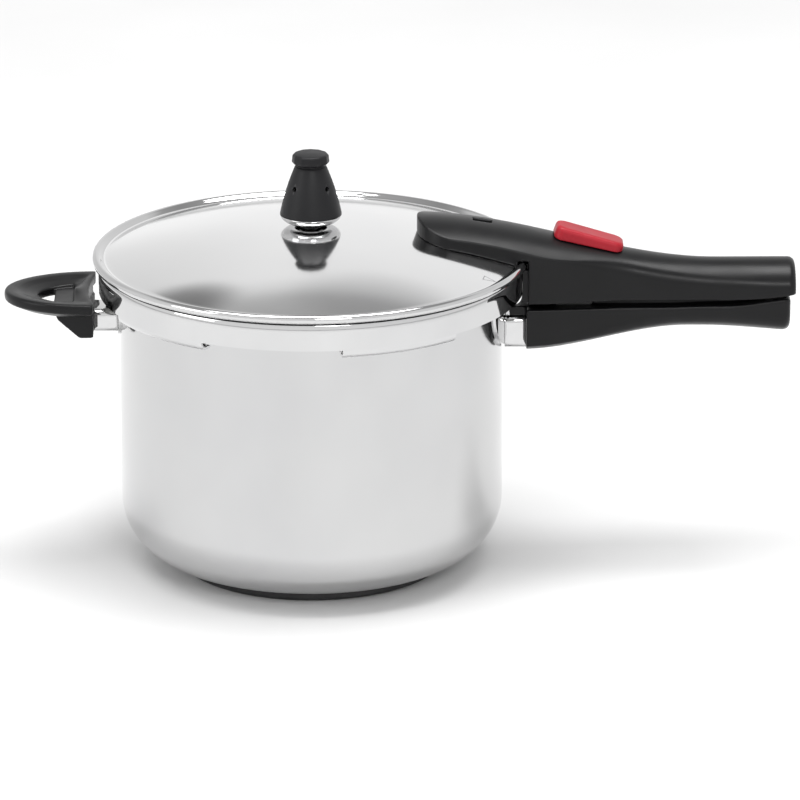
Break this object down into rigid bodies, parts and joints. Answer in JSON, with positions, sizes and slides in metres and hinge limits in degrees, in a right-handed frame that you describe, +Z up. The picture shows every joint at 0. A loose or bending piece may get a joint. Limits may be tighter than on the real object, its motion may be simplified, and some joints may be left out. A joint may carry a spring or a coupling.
{
  "type": "stovetop pressure cooker",
  "caption": "Stovetop pressure cooker: satin steel pot and domed bayonet lid, long two-part handle with red slide lock, loop helper handle, steam regulator on the crown.",
  "frame": {"origin": "centre of the base's underside, on the pot's axis, at the level of the hob", "axes": "+Z up along the pot's axis, +X along the long handles, +Y to the left of the long handle"},
  "size_m": [0.4576, 0.2528, 0.2455],
  "materials": {
    "satin_steel": "satin brushed stainless",
    "polished_steel": "mirror polished stainless",
    "plain_steel": "plain stainless sheet",
    "fastener": "turned stainless",
    "spring_steel": "drawn spring wire",
    "base_aluminium": "bare",
    "brass": "turned brass",
    "phenolic": "moulded phenolic, satin",
    "valve_black": "moulded phenolic, semi-matt",
    "inner_plastic": "glass-filled nylon",
    "red_plastic": "moulded, satin",
    "silicone": "translucent white silicone",
    "seal_rubber": "black silicone"
  },
  "bodies": {
    "pot": {"pot_shell": "satin_steel", "base_core": "base_aluminium", "base_cap": "polished_steel", "handle_bracket": "plain_steel", "helper_bracket": "plain_steel", "handle_guard": "polished_steel", "helper_guard": "polished_steel", "pot_handle": "phenolic", "helper_handle": "phenolic", "pot_handle_screw": "fastener", "helper_screw": "fastener", "bolt_keeper": "inner_plastic"},
    "lid": {"lid_shell": "satin_steel", "lid_gasket": "silicone", "lid_bracket": "plain_steel", "lid_handle_cover": "phenolic", "lid_handle_base": "phenolic", "lid_handle_screws": "fastener", "vent_pipe": "polished_steel", "vent_seal": "seal_rubber", "vent_nut": "fastener", "safety_housing": "brass", "safety_seal": "seal_rubber", "safety_nut": "fastener", "indicator_seal": "seal_rubber", "safety_spring": "spring_steel", "bolt_spring": "spring_steel"},
    "regulator_core": {"regulator_weight": "plain_steel", "weight_clip": "spring_steel", "shroud_screw": "fastener"},
    "regulator_hood": {"regulator_shroud": "valve_black", "regulator_cap": "valve_black", "regulator_skirt": "polished_steel"},
    "relief_poppet": {"safety_poppet": "brass"},
    "indicator": {"indicator_pin": "red_plastic"},
    "slider": {"slide_button": "red_plastic", "slide_carrier": "inner_plastic"},
    "bolt": {"lock_bolt": "plain_steel"}
  },
  "joints": [
    {"name": "lid_turn", "type": "hinge", "parent": "pot", "child": "lid", "pos_m": [0, 0, 0.17], "axis": [0, 0, 1], "range_deg": [0, 36]},
    {"name": "regulator_lift", "type": "slide", "parent": "lid", "child": "regulator_core", "axis": [0, 0, 1], "range_m": [0, 0.003]},
    {"name": "regulator_spin", "type": "hinge", "parent": "regulator_core", "child": "regulator_hood", "pos_m": [0, 0, 0.22], "axis": [0, 0, 1], "continuous": true},
    {"name": "relief_open", "type": "slide", "parent": "lid", "child": "relief_poppet", "axis": [0, 0, 1], "range_m": [0, 0.002], "stiffness_N_per_m": 5000, "springref_m": -0.0005, "deforming": ["safety_spring"]},
    {"name": "indicator_rise", "type": "slide", "parent": "lid", "child": "indicator", "axis": [0, 0, 1], "range_m": [0, 0.0045]},
    {"name": "slide_lock", "type": "slide", "parent": "lid", "child": "slider", "axis": [-0.9588, 0, 0.284], "range_m": [0, 0.008]},
    {"name": "bolt_drop", "type": "slide", "parent": "lid", "child": "bolt", "axis": [0, 0, -1], "range_m": [0, 0.007], "deforming": ["bolt_spring"]}
  ],
  "couplings": [
    {"joint": "bolt_drop", "follows": "slide_lock", "ratio": 0.875}
  ]
}
